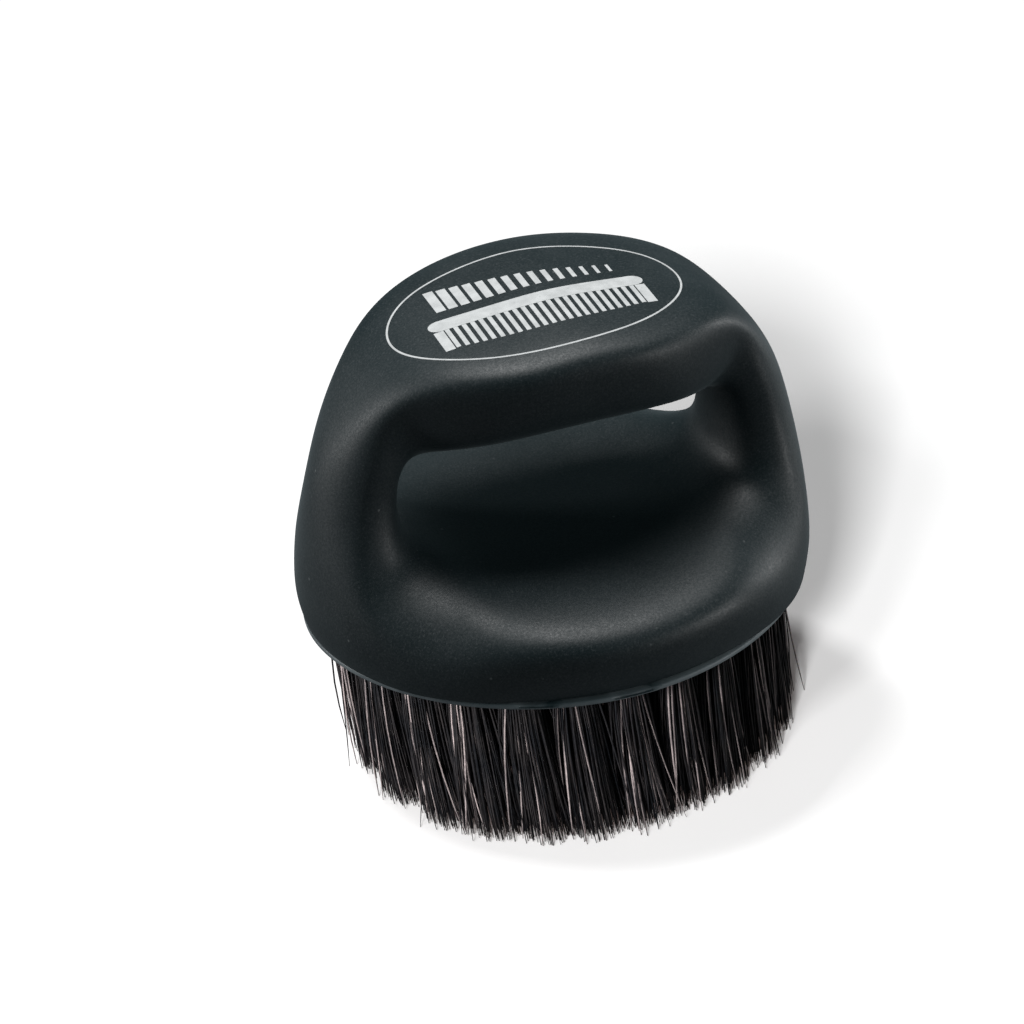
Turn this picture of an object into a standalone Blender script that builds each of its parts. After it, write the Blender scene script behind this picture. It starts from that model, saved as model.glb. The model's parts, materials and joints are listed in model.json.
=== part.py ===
"""Fade brush: a two-finger knuckle brush for sweeping cut hair off the neck.

A moulded D-loop handle stands on an oval base.  A bristle plate plugs into a
pocket under the base, and its edge flange shows as a thin lip.  The plate
carries three oval rings of tufts round a row of three.  Each tuft ends in a
narrow neck just below a drawn wire, and the wires lie in grooves in the plate.

Frame: +Z up, +X along the loop (left to right post), -Y towards the user.
The origin is the middle of the plane that the trimmed bristle tips stand on.
Sizes are in millimetres and become metres as the geometry is made.
"""
import math

import bmesh
import bpy
import numpy as np

MM = 0.001

# ---------------------------------------------------------------- shared sizes
BRISTLE_LENGTH = 26.5        # free length below the lip
LIP_Z = BRISTLE_LENGTH       # height of the lip's lower face
FLANGE_THICK = 1.0           # visible lip of the bristle plate
GAP = 0.3                    # clearance between separate pieces
SEAT_Z = LIP_Z + FLANGE_THICK + GAP    # flat underside of the handle
BASE_HALF_X = 42.0           # widest half length of the base
BASE_HALF_Y = 36.3           # widest half depth of the base
PLAN_POWER = 1.92            # superellipse power of the plan outline
OVAL_SIDES = 64              # segments round the plate and the pocket
OVERCUT = 1.0                # bore and groove cutters run past the plate by this

# ---------------------------------------------------------------- handle sizes
# Heights in this section are above the lip's lower face.
BASE_WIDEST_Z = 7.1
UNDERSIDE_Z = -8.0           # lowest line of the loop before the flat trim
HANDLE_HEIGHT = 54.1         # to the crown of the thumb pad
# Half of the dome outline seen from the front, bottom centre to crown:
# half width, height.
OUTER_LINE = (
    (0, UNDERSIDE_Z), (16, UNDERSIDE_Z), (31, UNDERSIDE_Z),
    (BASE_HALF_X - 1.6, 0.4), (BASE_HALF_X, BASE_WIDEST_Z),
    (41.5, 16), (40.2, 25), (37.8, 34), (32.7, 43),
    (24.1, HANDLE_HEIGHT - 3.55), (12.0, HANDLE_HEIGHT - 1.15), (0, HANDLE_HEIGHT),
)
LOOP_STATIONS = 2 * (len(OUTER_LINE) - 1)    # both halves share the end stations
DOME_FIRST, DOME_LAST = 3, 8                 # stations that bound the dome's side
DOME_STEPS = 8                               # profile samples per station
DOME_HALF_Y = 27.0                           # dome's half depth at its upper height
DOME_DEPTH_Z = (14, 43)                      # heights of the base's and dome's half depths

TUNNEL_FLOOR_Z = 14.8
TUNNEL_ROOF_Z = 35.2
TUNNEL_HALF_X = 26.7
TUNNEL_POWER = 3.5                           # squareness of the finger tunnel
# Place of each station round the tunnel, degrees from the middle of its floor.
TUNNEL_ANGLES = (0, 22, 44, 62, 76, 87, 97, 108, 120, 136, 158, 180)

BASE_EDGE_Z = 7.7                            # the base's edge line
# Edge line along the base: distance from the centre, rise above BASE_EDGE_Z.
BASE_EDGE = ((0, 0), (15.5, 0), (27, 0.2), (34, 1.2))
FOOT_STATION = 4
FOOT_EDGE_Z = 12.6                           # edge line at a post's foot
POST_STATIONS = (5, 6, 7, 8)
POST_EDGE = 0.52             # edge line's place from dome (0) to tunnel (1)
POST_EDGE_TILT = 0.2         # share of the tunnel's height in the edge's height
POST_HALF_Y = 10.4           # half depth of a post at its waist
POST_FLARE = (5.5, 2.6)      # extra half depth at the foot and just above it
PAD_HALF_Y = 20.6            # half depth of the thumb pad
PAD_SHARES = (0.0, 0.0, 0.36, 0.9, 1.0)      # growth from post to pad, last five stations
PAD_EDGE_Z = 48.4            # the pad's edge line at the crown
PAD_EDGE_DROPS = (3.2, 0.7)  # its fall at the two stations before the crown
PAD_EDGE_INSET = 0.97        # edge to outline width at the first of those

# Superellipse powers of the section's outer and inner sides.
BASE_OUT, POST_OUT, PAD_OUT = 2.6, 1.85, 3.8
BASE_IN, POST_IN, PAD_IN = 3.05, 2.15, 2.6
OUTER_POWERS = ([BASE_OUT] * 3 + [0.6 * BASE_OUT + 0.4 * POST_OUT] + [POST_OUT] * 4
                + [(POST_OUT + PAD_OUT) / 2] + [PAD_OUT] * 3)
INNER_POWERS = ([BASE_IN] * 2 + [2.7, 2.1, 2.0] + [POST_IN] * 3
                + [(POST_IN + PAD_IN) / 2] + [PAD_IN] * 3)
# How far the outer side of each station follows the oval dome.
DOME_FOLLOW = (0, 0, 0, 0.8, 0.8, 0.6, 0.3, 0.1, 0, 0, 0, 0)

FOOT_PASSES = 6              # relaxing passes at the feet
FOOT_EASE = (0.5, 0.12)      # strength along the loop and round the section
FOOT_START = (1.5, 3.0)      # stations over which the easing fades in
FOOT_END = (6.0, 7.5)        # stations over which it fades out
# Easing round the section: place from the outer line (0) over the edge (1/4)
# to the tunnel (1/2), and strength there.
EASE_PLACES = (0.125, 0.1875, 0.25, 0.3125, 0.4375, 0.5)
EASE_SHARES = (0.0, 0.2, 0.6, 1.0, 1.0, 0.25)
CAGE_PASSES = 2              # corrections for the shrinking of the subdivision
CAGE_PUSH = 0.7              # strength of each
STATIONS, SECTION = 40, 16   # cage resolution round the loop and round a section

TRIM_SIZE = (120, 120, 20)   # block that flattens the underside
POCKET_INSET = 3.4           # pocket wall inside the widest line
POCKET_DEPTH = 7.0
POCKET_CHAMFER = 1.2
POCKET_OVERCUT = 2.0         # pocket cutter below the underside

# ---------------------------------------------------------------- plate and tuft sizes
LIP_INSET = 0.85             # lip edge inside the widest line
LIP_CHAMFER = 0.25
PLATE_HEIGHT = 7.0           # lip bottom to plate back
PLATE_CHAMFER = 1.0
BORE_R = 3.0                 # tuft bore in the plate
BORE_DEPTH = 5.0
ROUND_SIDES = 8              # segments round a bore and a tuft
TUFT_ROOT_R = BORE_R - GAP
TUFT_TIP_R = 3.7
TUFT_NECK_R = 0.65           # folded end of the bundle
TUFT_NECK = 0.7              # its height
TUFT_ROOT_Z = LIP_Z + BORE_DEPTH - GAP       # top of the bound root
TUFT_TOP_Z = TUFT_ROOT_Z + TUFT_NECK
WIRE_R = 0.25
GROOVE_HALF = 1.0            # half width of a wire groove, which opens into the bores
GROOVE_FLOOR_Z = LIP_Z + PLATE_HEIGHT - 2.3
# Tuft rings: name, half length, half depth, tufts, shift in tuft pitches.
RINGS = (
    ("outer", 34.0, 28.0, 24, 0.0),
    ("middle", 25.8, 20.2, 16, 0.5),
    ("inner", 17.4, 12.1, 10, 0.0),
)
RING_SIDES = 36              # segments of the ring grooves and wires
ARC_STEPS = 720              # steps for measuring along a ring
ROW_PITCH = 8.7              # centre row of three tufts
ROW_GROOVE_END = 3.0         # centre groove beyond the outer tufts' centres
ROW_GROOVE_HEIGHT = 2.0      # stops short of the plate's back
ROW_WIRE_END = 2.0           # centre wire beyond the outer tufts' centres


# ---------------------------------------------------------------- scene helpers
def clear_scene():
    for ob in list(bpy.data.objects):
        bpy.data.objects.remove(ob, do_unlink=True)


def material(name, colour, roughness, metallic=0.0):
    mat = bpy.data.materials.new(name)
    mat.use_nodes = True
    shader = mat.node_tree.nodes["Principled BSDF"]
    shader.inputs["Base Color"].default_value = (*colour, 1.0)
    shader.inputs["Roughness"].default_value = roughness
    shader.inputs["Metallic"].default_value = metallic
    mat.diffuse_color = (*colour, 1.0)
    return mat


def add_object(name, data, parent=None):
    ob = bpy.data.objects.new(name, data)
    bpy.context.scene.collection.objects.link(ob)
    ob.parent = parent
    return ob


def finish_mesh(name, bm):
    bmesh.ops.recalc_face_normals(bm, faces=bm.faces)
    mesh = bpy.data.meshes.new(name)
    bm.to_mesh(mesh)
    bm.free()
    return mesh


def smooth_mesh(name, bm, mat):
    mesh = finish_mesh(name, bm)
    mesh.materials.append(mat)
    mesh.shade_smooth()
    mesh.set_sharp_from_angle(angle=math.radians(40))
    return mesh


def cut(target, name, bm, root):
    """subtracts bm from the target as a hidden helper object"""
    tool = add_object(name, finish_mesh(name, bm), root)
    tool.hide_render = True
    tool.display_type = "WIRE"
    mod = target.modifiers.new("cut_" + name, "BOOLEAN")
    mod.operation = "DIFFERENCE"
    mod.solver = "EXACT"
    mod.object = tool


# ---------------------------------------------------------------- shape helpers
def mix(start, end, share):
    return start + share * (end - start)


def signed_power(value, power):
    return math.copysign(abs(value) ** power, value) if abs(value) > 1e-9 else 0.0


def oval(half_x, half_y, count, power=2.0):
    """points round a superellipse"""
    angles = [2 * math.pi * i / count for i in range(count)]
    return [(half_x * signed_power(math.cos(a), 2 / power),
             half_y * signed_power(math.sin(a), 2 / power)) for a in angles]


def skin(bm, rings, closed=False):
    """joins rings of points in mm; the last joins the first if closed, else the ends are capped"""
    loops = [[bm.verts.new((x * MM, y * MM, z * MM)) for x, y, z in ring] for ring in rings]
    following = loops[1:] + loops[:1] if closed else loops[1:]
    for low, high in zip(loops, following):
        for i in range(len(low)):
            k = (i + 1) % len(low)
            bm.faces.new((low[i], low[k], high[k], high[i]))
    if not closed:
        bm.faces.new(list(reversed(loops[0])))
        bm.faces.new(loops[-1])


def oval_stack(bm, levels):
    """closed solid through plan ovals (z, half x, half y), bottom to top"""
    skin(bm, [[(x, y, z) for x, y in oval(half_x, half_y, OVAL_SIDES, PLAN_POWER)]
              for z, half_x, half_y in levels])


def turned(bm, profile, centre=(0.0, 0.0)):
    """closed turned solid, profile (radius, z) from bottom to top"""
    angles = [2 * math.pi * i / ROUND_SIDES for i in range(ROUND_SIDES)]
    skin(bm, [[(centre[0] + radius * math.cos(a), centre[1] + radius * math.sin(a), z)
               for a in angles] for radius, z in profile])


def block(bm, size, bottom):
    """box centred on the Z axis"""
    for vert in bmesh.ops.create_cube(bm, size=1.0)["verts"]:
        x, y, z = vert.co
        vert.co = (x * size[0] * MM, y * size[1] * MM, (bottom + (z + 0.5) * size[2]) * MM)


# ---------------------------------------------------------------- handle surface
def mirror_loop(half_loop, x_columns):
    """adds the left half of the loop, with the x columns negated"""
    half_loop = np.array(half_loop, float)
    left = half_loop[-2:0:-1].copy()
    left[:, x_columns] *= -1
    return np.vstack([half_loop, left])


def periodic_spline(values, count):
    """smooth closed curve through the stations, resampled evenly"""
    n = len(values)
    matrix = np.zeros((n, n))
    for i in range(n):
        matrix[i, i] = 4
        matrix[i, (i - 1) % n] = 1
        matrix[i, (i + 1) % n] = 1
    control = np.linalg.solve(matrix / 6.0, values)
    t = np.arange(count) * n / count
    span = np.floor(t).astype(int)
    f = (t - span)[:, None]
    before, start, end, after = (control[(span + k) % n] for k in (-1, 0, 1, 2))
    return ((1 - f) ** 3 * before + (3 * f ** 3 - 6 * f ** 2 + 4) * start
            + (-3 * f ** 3 + 3 * f ** 2 + 3 * f + 1) * end + f ** 3 * after) / 6.0


def dome_profile():
    """heights and half widths up the dome's side"""
    fine = periodic_spline(mirror_loop(OUTER_LINE, [0]), LOOP_STATIONS * DOME_STEPS)
    side = fine[DOME_STEPS * DOME_FIRST:DOME_STEPS * DOME_LAST + 1]
    order = np.argsort(side[:, 1])
    return side[order, 1], side[order, 0]


def dome_width(y, z, profile):
    """half width of the oval dome at depth y and height z"""
    half_width = np.interp(z, *profile)
    half_depth = np.interp(z, DOME_DEPTH_Z, (BASE_HALF_Y, DOME_HALF_Y))
    share = np.minimum(1.0, np.abs(y) / half_depth) ** PLAN_POWER
    return half_width * np.clip(1 - share, 0, 1) ** (1 / PLAN_POWER)


def base_depth(x):
    """half depth of the base's plan at x"""
    share = min(1, x / BASE_HALF_X) ** PLAN_POWER
    return BASE_HALF_Y * (1 - share) ** (1 / PLAN_POWER)


def tunnel_line():
    """half of the finger tunnel outline, floor to roof: half width, height"""
    middle = (TUNNEL_FLOOR_Z + TUNNEL_ROOF_Z) / 2
    half = (TUNNEL_ROOF_Z - TUNNEL_FLOOR_Z) / 2
    power = 2 / TUNNEL_POWER
    return [(TUNNEL_HALF_X * signed_power(math.sin(a), power),
             middle - half * signed_power(math.cos(a), power))
            for a in map(math.radians, TUNNEL_ANGLES)]


def edge_line(inner, profile):
    """half of the line where the sections are deepest: x, z"""
    edge = [(x, BASE_EDGE_Z + rise) for x, rise in BASE_EDGE]
    foot = mix(BASE_HALF_X, inner[FOOT_STATION][0], POST_EDGE)
    on_dome = float(dome_width(POST_HALF_Y + POST_FLARE[0], FOOT_EDGE_Z, profile))
    edge.append(((foot + on_dome) / 2, FOOT_EDGE_Z))
    for k in POST_STATIONS:
        edge.append((mix(OUTER_LINE[k][0], inner[k][0], POST_EDGE),
                     mix(OUTER_LINE[k][1], inner[k][1], POST_EDGE_TILT)))
    edge.append((OUTER_LINE[9][0] * PAD_EDGE_INSET, PAD_EDGE_Z - PAD_EDGE_DROPS[0]))
    edge.append((OUTER_LINE[10][0], PAD_EDGE_Z - PAD_EDGE_DROPS[1]))
    edge.append((0, PAD_EDGE_Z))
    return edge


def handle_stations(profile):
    """Sections round the loop, bottom centre to top centre and back.

    Each section runs from an outer point on the dome, over an edge line that
    stands off by a half depth, to an inner point on the finger tunnel.
    Columns: outer x z, inner x z, edge x z, half depth, outer and inner power,
    and how far the outer side follows the oval dome.
    """
    inner = tunnel_line()
    depths = [base_depth(x) for x, _ in BASE_EDGE]
    depths += [POST_HALF_Y + flare for flare in (*POST_FLARE, 0.0)]
    depths += [mix(POST_HALF_Y, PAD_HALF_Y, share) for share in PAD_SHARES]
    half_loop = np.column_stack([OUTER_LINE, inner, edge_line(inner, profile), depths,
                                 OUTER_POWERS, INNER_POWERS, DOME_FOLLOW])
    return mirror_loop(half_loop, [0, 2, 4])


def smooth_limit(grid):
    """approximates where subdivision brings the cage"""
    for axis in (0, 1):
        grid = (np.roll(grid, 1, axis) + 4 * grid + np.roll(grid, -1, axis)) / 6.0
    return grid


def ramp(value, low, high):
    share = np.clip((value - low) / (high - low), 0, 1)
    return share * share * (3 - 2 * share)


def ease_feet(grid):
    """relaxes the hollow between each post's foot and the base, so that they flow together"""
    along = np.arange(STATIONS) * LOOP_STATIONS / STATIONS
    along = np.minimum(along, LOOP_STATIONS - along)
    at_foot = ramp(along, *FOOT_START) * (1 - ramp(along, *FOOT_END))
    place = np.arange(SECTION) / SECTION
    place = np.minimum(place, 1 - place)
    side = np.interp(place, EASE_PLACES, EASE_SHARES)
    share = (at_foot[:, None] * side[None, :])[:, :, None]
    for _ in range(FOOT_PASSES):
        step = np.zeros_like(grid)
        for axis, weight in enumerate(FOOT_EASE):
            neighbours = (np.roll(grid, 1, axis) + np.roll(grid, -1, axis)) / 2
            step += weight * (neighbours - grid)
        grid = grid + share * step
    return grid


def handle_cage():
    """closed grid of cage points (round the loop, round the section, xyz)"""
    profile = dome_profile()
    stations = periodic_spline(handle_stations(profile), STATIONS)
    outer, inner, edge = stations[:, 0:2], stations[:, 2:4], stations[:, 4:6]
    half_depth, outer_power, inner_power, follow = stations[:, 6:].T
    follow = np.clip(follow, 0, 1)
    grid = np.zeros((STATIONS, SECTION, 3))
    for j in range(SECTION):
        angle = 2 * math.pi * j / SECTION
        # rounding noise at the quarter points must not pick the wrong side
        sine, cosine = (v if abs(v) > 1e-9 else 0.0 for v in (math.sin(angle), math.cos(angle)))
        on_outer = cosine >= 0
        aim, power = (outer, outer_power) if on_outer else (inner, inner_power)
        reach = np.abs(cosine) ** (2 / power)
        x, z = mix(edge, aim, reach[:, None]).T
        y = -np.sign(sine) * np.abs(sine) ** (2 / power) * half_depth
        if on_outer:
            on_dome = dome_width(y, z, profile) * np.sign(outer[:, 0])
            x = x * (1 - follow) + on_dome * follow
        grid[:, j] = np.column_stack([x, y, z])
    wanted = ease_feet(grid)
    grid = wanted
    for _ in range(CAGE_PASSES):            # push the cage out to meet the sizes
        grid = grid + (wanted - smooth_limit(grid)) * CAGE_PUSH
    return grid


# ---------------------------------------------------------------- handle
def handle_tube(bm):
    """the cage, closed both round the loop and round the section"""
    skin(bm, handle_cage() + (0, 0, LIP_Z), closed=True)


def pocket_shape(bm):
    """room for the bristle plate"""
    half_x, half_y = BASE_HALF_X - POCKET_INSET, BASE_HALF_Y - POCKET_INSET
    roof = SEAT_Z + POCKET_DEPTH
    oval_stack(bm, [(SEAT_Z - POCKET_OVERCUT, half_x, half_y),
                    (roof - POCKET_CHAMFER, half_x, half_y),
                    (roof, half_x - POCKET_CHAMFER, half_y - POCKET_CHAMFER)])


def build_handle(mat, root):
    bm = bmesh.new()
    handle_tube(bm)
    shell = add_object("handle_shell", smooth_mesh("handle_shell", bm, mat), root)
    rounding = shell.modifiers.new("round", "SUBSURF")
    rounding.levels = 1
    rounding.render_levels = 1

    bm = bmesh.new()
    block(bm, TRIM_SIZE, SEAT_Z - TRIM_SIZE[2])
    cut(shell, "trim_cutter", bm, root)

    bm = bmesh.new()
    pocket_shape(bm)
    cut(shell, "pocket_cutter", bm, root)


# ---------------------------------------------------------------- plate, wires and tufts
def ring_spots(half_x, half_y, count, shift):
    """evenly spaced spots along an oval"""
    fine = oval(half_x, half_y, ARC_STEPS)
    x, y = np.array(fine + fine[:1]).T
    length = np.concatenate([[0.0], np.cumsum(np.hypot(np.diff(x), np.diff(y)))])
    wanted = length[-1] * (np.arange(count) + shift) / count
    return list(zip(np.interp(wanted, length, x), np.interp(wanted, length, y)))


def tuft_layout():
    """name and plan position of every tuft"""
    groups = [(name, ring_spots(*ring)) for name, *ring in RINGS]
    groups.append(("centre", [(k * ROW_PITCH, 0.0) for k in (-1, 0, 1)]))
    return [("tuft_%s_%02d" % (name, k), spot)
            for name, spots in groups for k, spot in enumerate(spots, 1)]


def plate_shape(bm):
    lip_x, lip_y = BASE_HALF_X - LIP_INSET, BASE_HALF_Y - LIP_INSET
    plug_x, plug_y = BASE_HALF_X - POCKET_INSET - GAP, BASE_HALF_Y - POCKET_INSET - GAP
    back = LIP_Z + PLATE_HEIGHT
    oval_stack(bm, [(LIP_Z, lip_x - LIP_CHAMFER, lip_y - LIP_CHAMFER),
                    (LIP_Z + LIP_CHAMFER, lip_x, lip_y),
                    (LIP_Z + FLANGE_THICK, lip_x, lip_y),
                    (LIP_Z + FLANGE_THICK, plug_x, plug_y),
                    (back - PLATE_CHAMFER, plug_x, plug_y),
                    (back, plug_x - PLATE_CHAMFER, plug_y - PLATE_CHAMFER)])


def ring_groove(bm, half_x, half_y):
    """rectangular channel along an oval, open at the plate's back"""
    top = LIP_Z + PLATE_HEIGHT + OVERCUT
    corners = ((-1, GROOVE_FLOOR_Z), (1, GROOVE_FLOOR_Z), (1, top), (-1, top))
    rings = []
    for side, z in corners:
        ring = []
        for x, y in oval(half_x, half_y, RING_SIDES):
            normal_x, normal_y = x / half_x ** 2, y / half_y ** 2
            offset = side * GROOVE_HALF / math.hypot(normal_x, normal_y)
            ring.append((x + normal_x * offset, y + normal_y * offset, z))
        rings.append(ring)
    skin(bm, rings, closed=True)


def build_plate(mat, root, layout):
    bm = bmesh.new()
    plate_shape(bm)
    plate = add_object("bristle_plate", smooth_mesh("bristle_plate", bm, mat), root)

    bm = bmesh.new()                        # blind bore of every tuft
    for _, spot in layout:
        turned(bm, [(BORE_R, LIP_Z - OVERCUT), (BORE_R, LIP_Z + BORE_DEPTH)], spot)
    cut(plate, "bore_cutter", bm, root)

    bm = bmesh.new()
    for _, half_x, half_y, *_ in RINGS:
        ring_groove(bm, half_x, half_y)
    row_size = (2 * (ROW_PITCH + ROW_GROOVE_END), 2 * GROOVE_HALF, ROW_GROOVE_HEIGHT)
    block(bm, row_size, GROOVE_FLOOR_Z)
    cut(plate, "groove_cutter", bm, root)


def add_wire(name, points, closed, mat, root):
    curve = bpy.data.curves.new(name, "CURVE")
    curve.dimensions = "3D"
    curve.bevel_depth = WIRE_R * MM
    curve.bevel_resolution = 1
    curve.use_fill_caps = not closed
    curve.materials.append(mat)
    spline = curve.splines.new("POLY")
    spline.points.add(len(points) - 1)
    z = TUFT_TOP_Z + GAP + WIRE_R
    for point, (x, y) in zip(spline.points, points):
        point.co = (x * MM, y * MM, z * MM, 1)
    spline.use_cyclic_u = closed
    add_object(name, curve, root)


def build_wires(mat, root):
    for name, half_x, half_y, *_ in RINGS:
        add_wire("wire_" + name, oval(half_x, half_y, RING_SIDES), True, mat, root)
    end = ROW_PITCH + ROW_WIRE_END
    add_wire("wire_centre", [(-end, 0), (end, 0)], False, mat, root)


def build_tufts(mat, root, layout):
    """one shared bundle shape: flared trimmed end, bound root, folded neck"""
    bm = bmesh.new()
    turned(bm, [(TUFT_TIP_R, 0.0), (TUFT_ROOT_R, LIP_Z), (TUFT_ROOT_R, TUFT_ROOT_Z),
                (TUFT_NECK_R, TUFT_ROOT_Z), (TUFT_NECK_R, TUFT_TOP_Z)])
    bundle = smooth_mesh("tuft_shape", bm, mat)
    for name, (x, y) in layout:
        add_object(name, bundle, root).location = (x * MM, y * MM, 0)


def main():
    clear_scene()
    root = add_object("fade_brush", None)
    shell = material("soft_touch_black", colour=(0.018, 0.021, 0.024), roughness=0.52)
    plate = material("plate_black", colour=(0.022, 0.024, 0.026), roughness=0.45)
    hair = material("bristle_black", colour=(0.010, 0.009, 0.009), roughness=0.55)
    wire = material("drawn_wire", colour=(0.55, 0.55, 0.53), roughness=0.35, metallic=1.0)
    layout = tuft_layout()
    build_handle(shell, root)
    build_plate(plate, root, layout)
    build_wires(wire, root)
    build_tufts(hair, root, layout)


main()
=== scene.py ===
"""Looks of a fade brush: an oval base with bristle tufts below and a finger loop above.

The handle skin is the CAD handle's own surface at a finer level, the plate gets a
fine rounded lip, and every tuft becomes a bundle of single tapered bristles.
Sizes are in millimetres until MM turns them into metres, except in the studio;
the frame is the CAD's: +Z up, +X along the finger loop, -Y towards the user,
z = 0 at the tips. Heights of the handle and plate are measured from the lip.
"""

import json
import math

import bmesh
import bpy
import numpy as np
from mathutils import Matrix, Vector
from mathutils.bvhtree import BVHTree

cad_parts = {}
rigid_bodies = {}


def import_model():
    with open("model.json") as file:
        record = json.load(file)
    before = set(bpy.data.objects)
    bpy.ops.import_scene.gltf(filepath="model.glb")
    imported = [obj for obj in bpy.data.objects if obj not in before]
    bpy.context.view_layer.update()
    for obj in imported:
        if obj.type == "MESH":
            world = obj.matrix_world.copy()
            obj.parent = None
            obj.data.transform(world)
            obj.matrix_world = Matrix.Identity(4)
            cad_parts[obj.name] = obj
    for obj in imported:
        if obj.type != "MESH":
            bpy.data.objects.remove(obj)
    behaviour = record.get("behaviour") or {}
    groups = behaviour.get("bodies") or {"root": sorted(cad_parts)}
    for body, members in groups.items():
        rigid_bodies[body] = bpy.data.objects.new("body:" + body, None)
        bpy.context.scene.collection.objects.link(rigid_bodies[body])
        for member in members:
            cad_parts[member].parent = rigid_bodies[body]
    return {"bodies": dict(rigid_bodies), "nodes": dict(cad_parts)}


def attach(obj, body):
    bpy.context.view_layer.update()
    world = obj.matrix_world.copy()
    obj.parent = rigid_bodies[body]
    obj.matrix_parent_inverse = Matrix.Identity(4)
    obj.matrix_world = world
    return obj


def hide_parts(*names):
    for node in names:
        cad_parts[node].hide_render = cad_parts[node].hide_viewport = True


MM = 0.001

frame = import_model()
BODY = list(frame["bodies"])[0]
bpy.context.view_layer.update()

# ---------------------------------------------------------------- sizes, as in the CAD
BRISTLE_LENGTH = 26.5        # free length below the lip
LIP_Z = BRISTLE_LENGTH       # world height of the lip's lower face
FLANGE_THICK = 1.0           # visible lip of the bristle plate
GAP = 0.3                    # clearance between separate pieces

BASE_HALF_X = 42.0           # widest half length of the base
BASE_HALF_Y = 36.3           # widest half depth of the base
BASE_WIDEST_Z = 7.1          # height of the widest line
BASE_EDGE_Z = 7.7            # height of the base's edge line
DOME_HALF_Y = 27.0           # dome's half depth at 43 mm
PLAN_POWER = 1.92            # superellipse power of the plan outline
UNDERSIDE_Z = -8.0           # lowest line of the loop before the flat trim
HANDLE_HEIGHT = 54.1         # lip to the crown of the thumb pad
DOME = ((41.5, 16), (40.2, 25), (37.8, 34), (32.7, 43))   # half width, height
CROWN = ((24.1, 3.55), (12.0, 1.15))   # half width, drop below the crown

LOOP_FLOOR_Z = 14.8          # finger tunnel floor
LOOP_ROOF_Z = 35.2           # finger tunnel roof
LOOP_HALF_X = 26.7           # half width of the finger tunnel
LOOP_POWER = 3.5             # squareness of the tunnel outline
# where the stations meet the tunnel outline, degrees from the middle of the floor
LOOP_ANGLES = (0, 22, 44, 62, 76, 87, 97, 108, 120, 136, 158, 180)

POST_HALF_Y = 10.4           # half depth of a post at its waist
POST_FLARE = (5.5, 2.6)      # extra half depth at the foot and just above it
POST_EDGE = 0.52             # edge line's place between dome (0) and tunnel (1)
FOOT_Z = 12.6                # height of the edge line at a post's foot
FOOT_PASSES = 6              # relaxing passes at the feet
FOOT_EASE = (0.5, 0.12)      # strength along the loop and round the section
PAD_HALF_Y = 20.6            # half depth of the thumb pad
PAD_PLAN = (0.0, 0.0, 0.36, 0.9)    # pad depth share at 34, 43 mm and the two crown stations
PAD_EDGE_Z = 48.4            # height of the pad's front edge line
SQUARE_OUT = (2.6, 1.85, 3.8)       # section power outside: base, post, pad
SQUARE_IN = (3.05, 2.15, 2.6)       # section power inside: base, post, pad
SQUARE_IN_FOOT = [2.7, 2.1, 2.0]    # section power inside, from the base up to the foot
DOME_FOLLOW = (0, 0, 0, 0.8, 0.8, 0.6, 0.3, 0.1, 0, 0, 0, 0)  # outer side's pull to the dome

LOOP_STATIONS = 22           # measured sections round the whole loop
STATIONS, SECTION = 40, 16   # cage resolution round the loop and round a section

LIP_INSET = 0.85             # lip edge inside the widest line
POCKET_INSET = 3.4           # pocket wall inside the widest line
POCKET_DEPTH = 7.0
POCKET_CHAMFER = 1.2
PLATE_HEIGHT = 7.0           # lip bottom to plate back
PLATE_CHAMFER = 1.0
BORE_R = 3.0                 # tuft bore in the plate
BORE_DEPTH = 5.0
BORE_FLARE = 0.25            # widening at the bore's mouth
BORE_SIDES = 20
# tuft rings: name, half length, half depth, tufts
RINGS = (
    ("outer", 34.0, 28.0, 24),
    ("middle", 25.8, 20.2, 16),
    ("inner", 17.4, 12.1, 10),
)
ROW_PITCH = 8.7              # centre row of three tufts


# ---------------------------------------------------------------- shape rules
def signed_power(value, power):
    return math.copysign(abs(value) ** power, value) if abs(value) > 1e-9 else 0.0


def snap_zero(value):
    return value if abs(value) > 1e-9 else 0.0


def oval(half_x, half_y, count, power=PLAN_POWER):
    """points round a superellipse"""
    points = []
    for i in range(count):
        turn = 2 * math.pi * i / count
        points.append((half_x * signed_power(math.cos(turn), 2 / power),
                       half_y * signed_power(math.sin(turn), 2 / power)))
    return points


def periodic_spline(values, count):
    """smooth closed curve through the stations, resampled evenly"""
    stations = len(values)
    matrix = np.zeros((stations, stations))
    for i in range(stations):
        matrix[i, i] = 4
        matrix[i, (i - 1) % stations] = 1
        matrix[i, (i + 1) % stations] = 1
    control = np.linalg.solve(matrix / 6.0, values)
    place = np.arange(count) * stations / count
    index = np.floor(place).astype(int)
    part = (place - index)[:, None]

    def at(step):
        return control[(index + step) % stations]

    return ((1 - part) ** 3 * at(-1) + (3 * part ** 3 - 6 * part ** 2 + 4) * at(0)
            + (-3 * part ** 3 + 3 * part ** 2 + 3 * part + 1) * at(1)
            + part ** 3 * at(2)) / 6.0


def close_loop(half_loop, x_columns):
    """adds the mirrored side to rows that run from bottom centre to top centre"""
    half_loop = np.array(half_loop, float)
    back = half_loop[-2:0:-1].copy()
    back[:, x_columns] *= -1
    return np.vstack([half_loop, back])


def outer_line():
    """dome outline seen from the front: half width, height"""
    return [(0, UNDERSIDE_Z), (16, UNDERSIDE_Z), (31, UNDERSIDE_Z),
            (BASE_HALF_X - 1.6, 0.4), (BASE_HALF_X, BASE_WIDEST_Z),
            *DOME,
            *((half, HANDLE_HEIGHT - drop) for half, drop in CROWN), (0, HANDLE_HEIGHT)]


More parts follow.
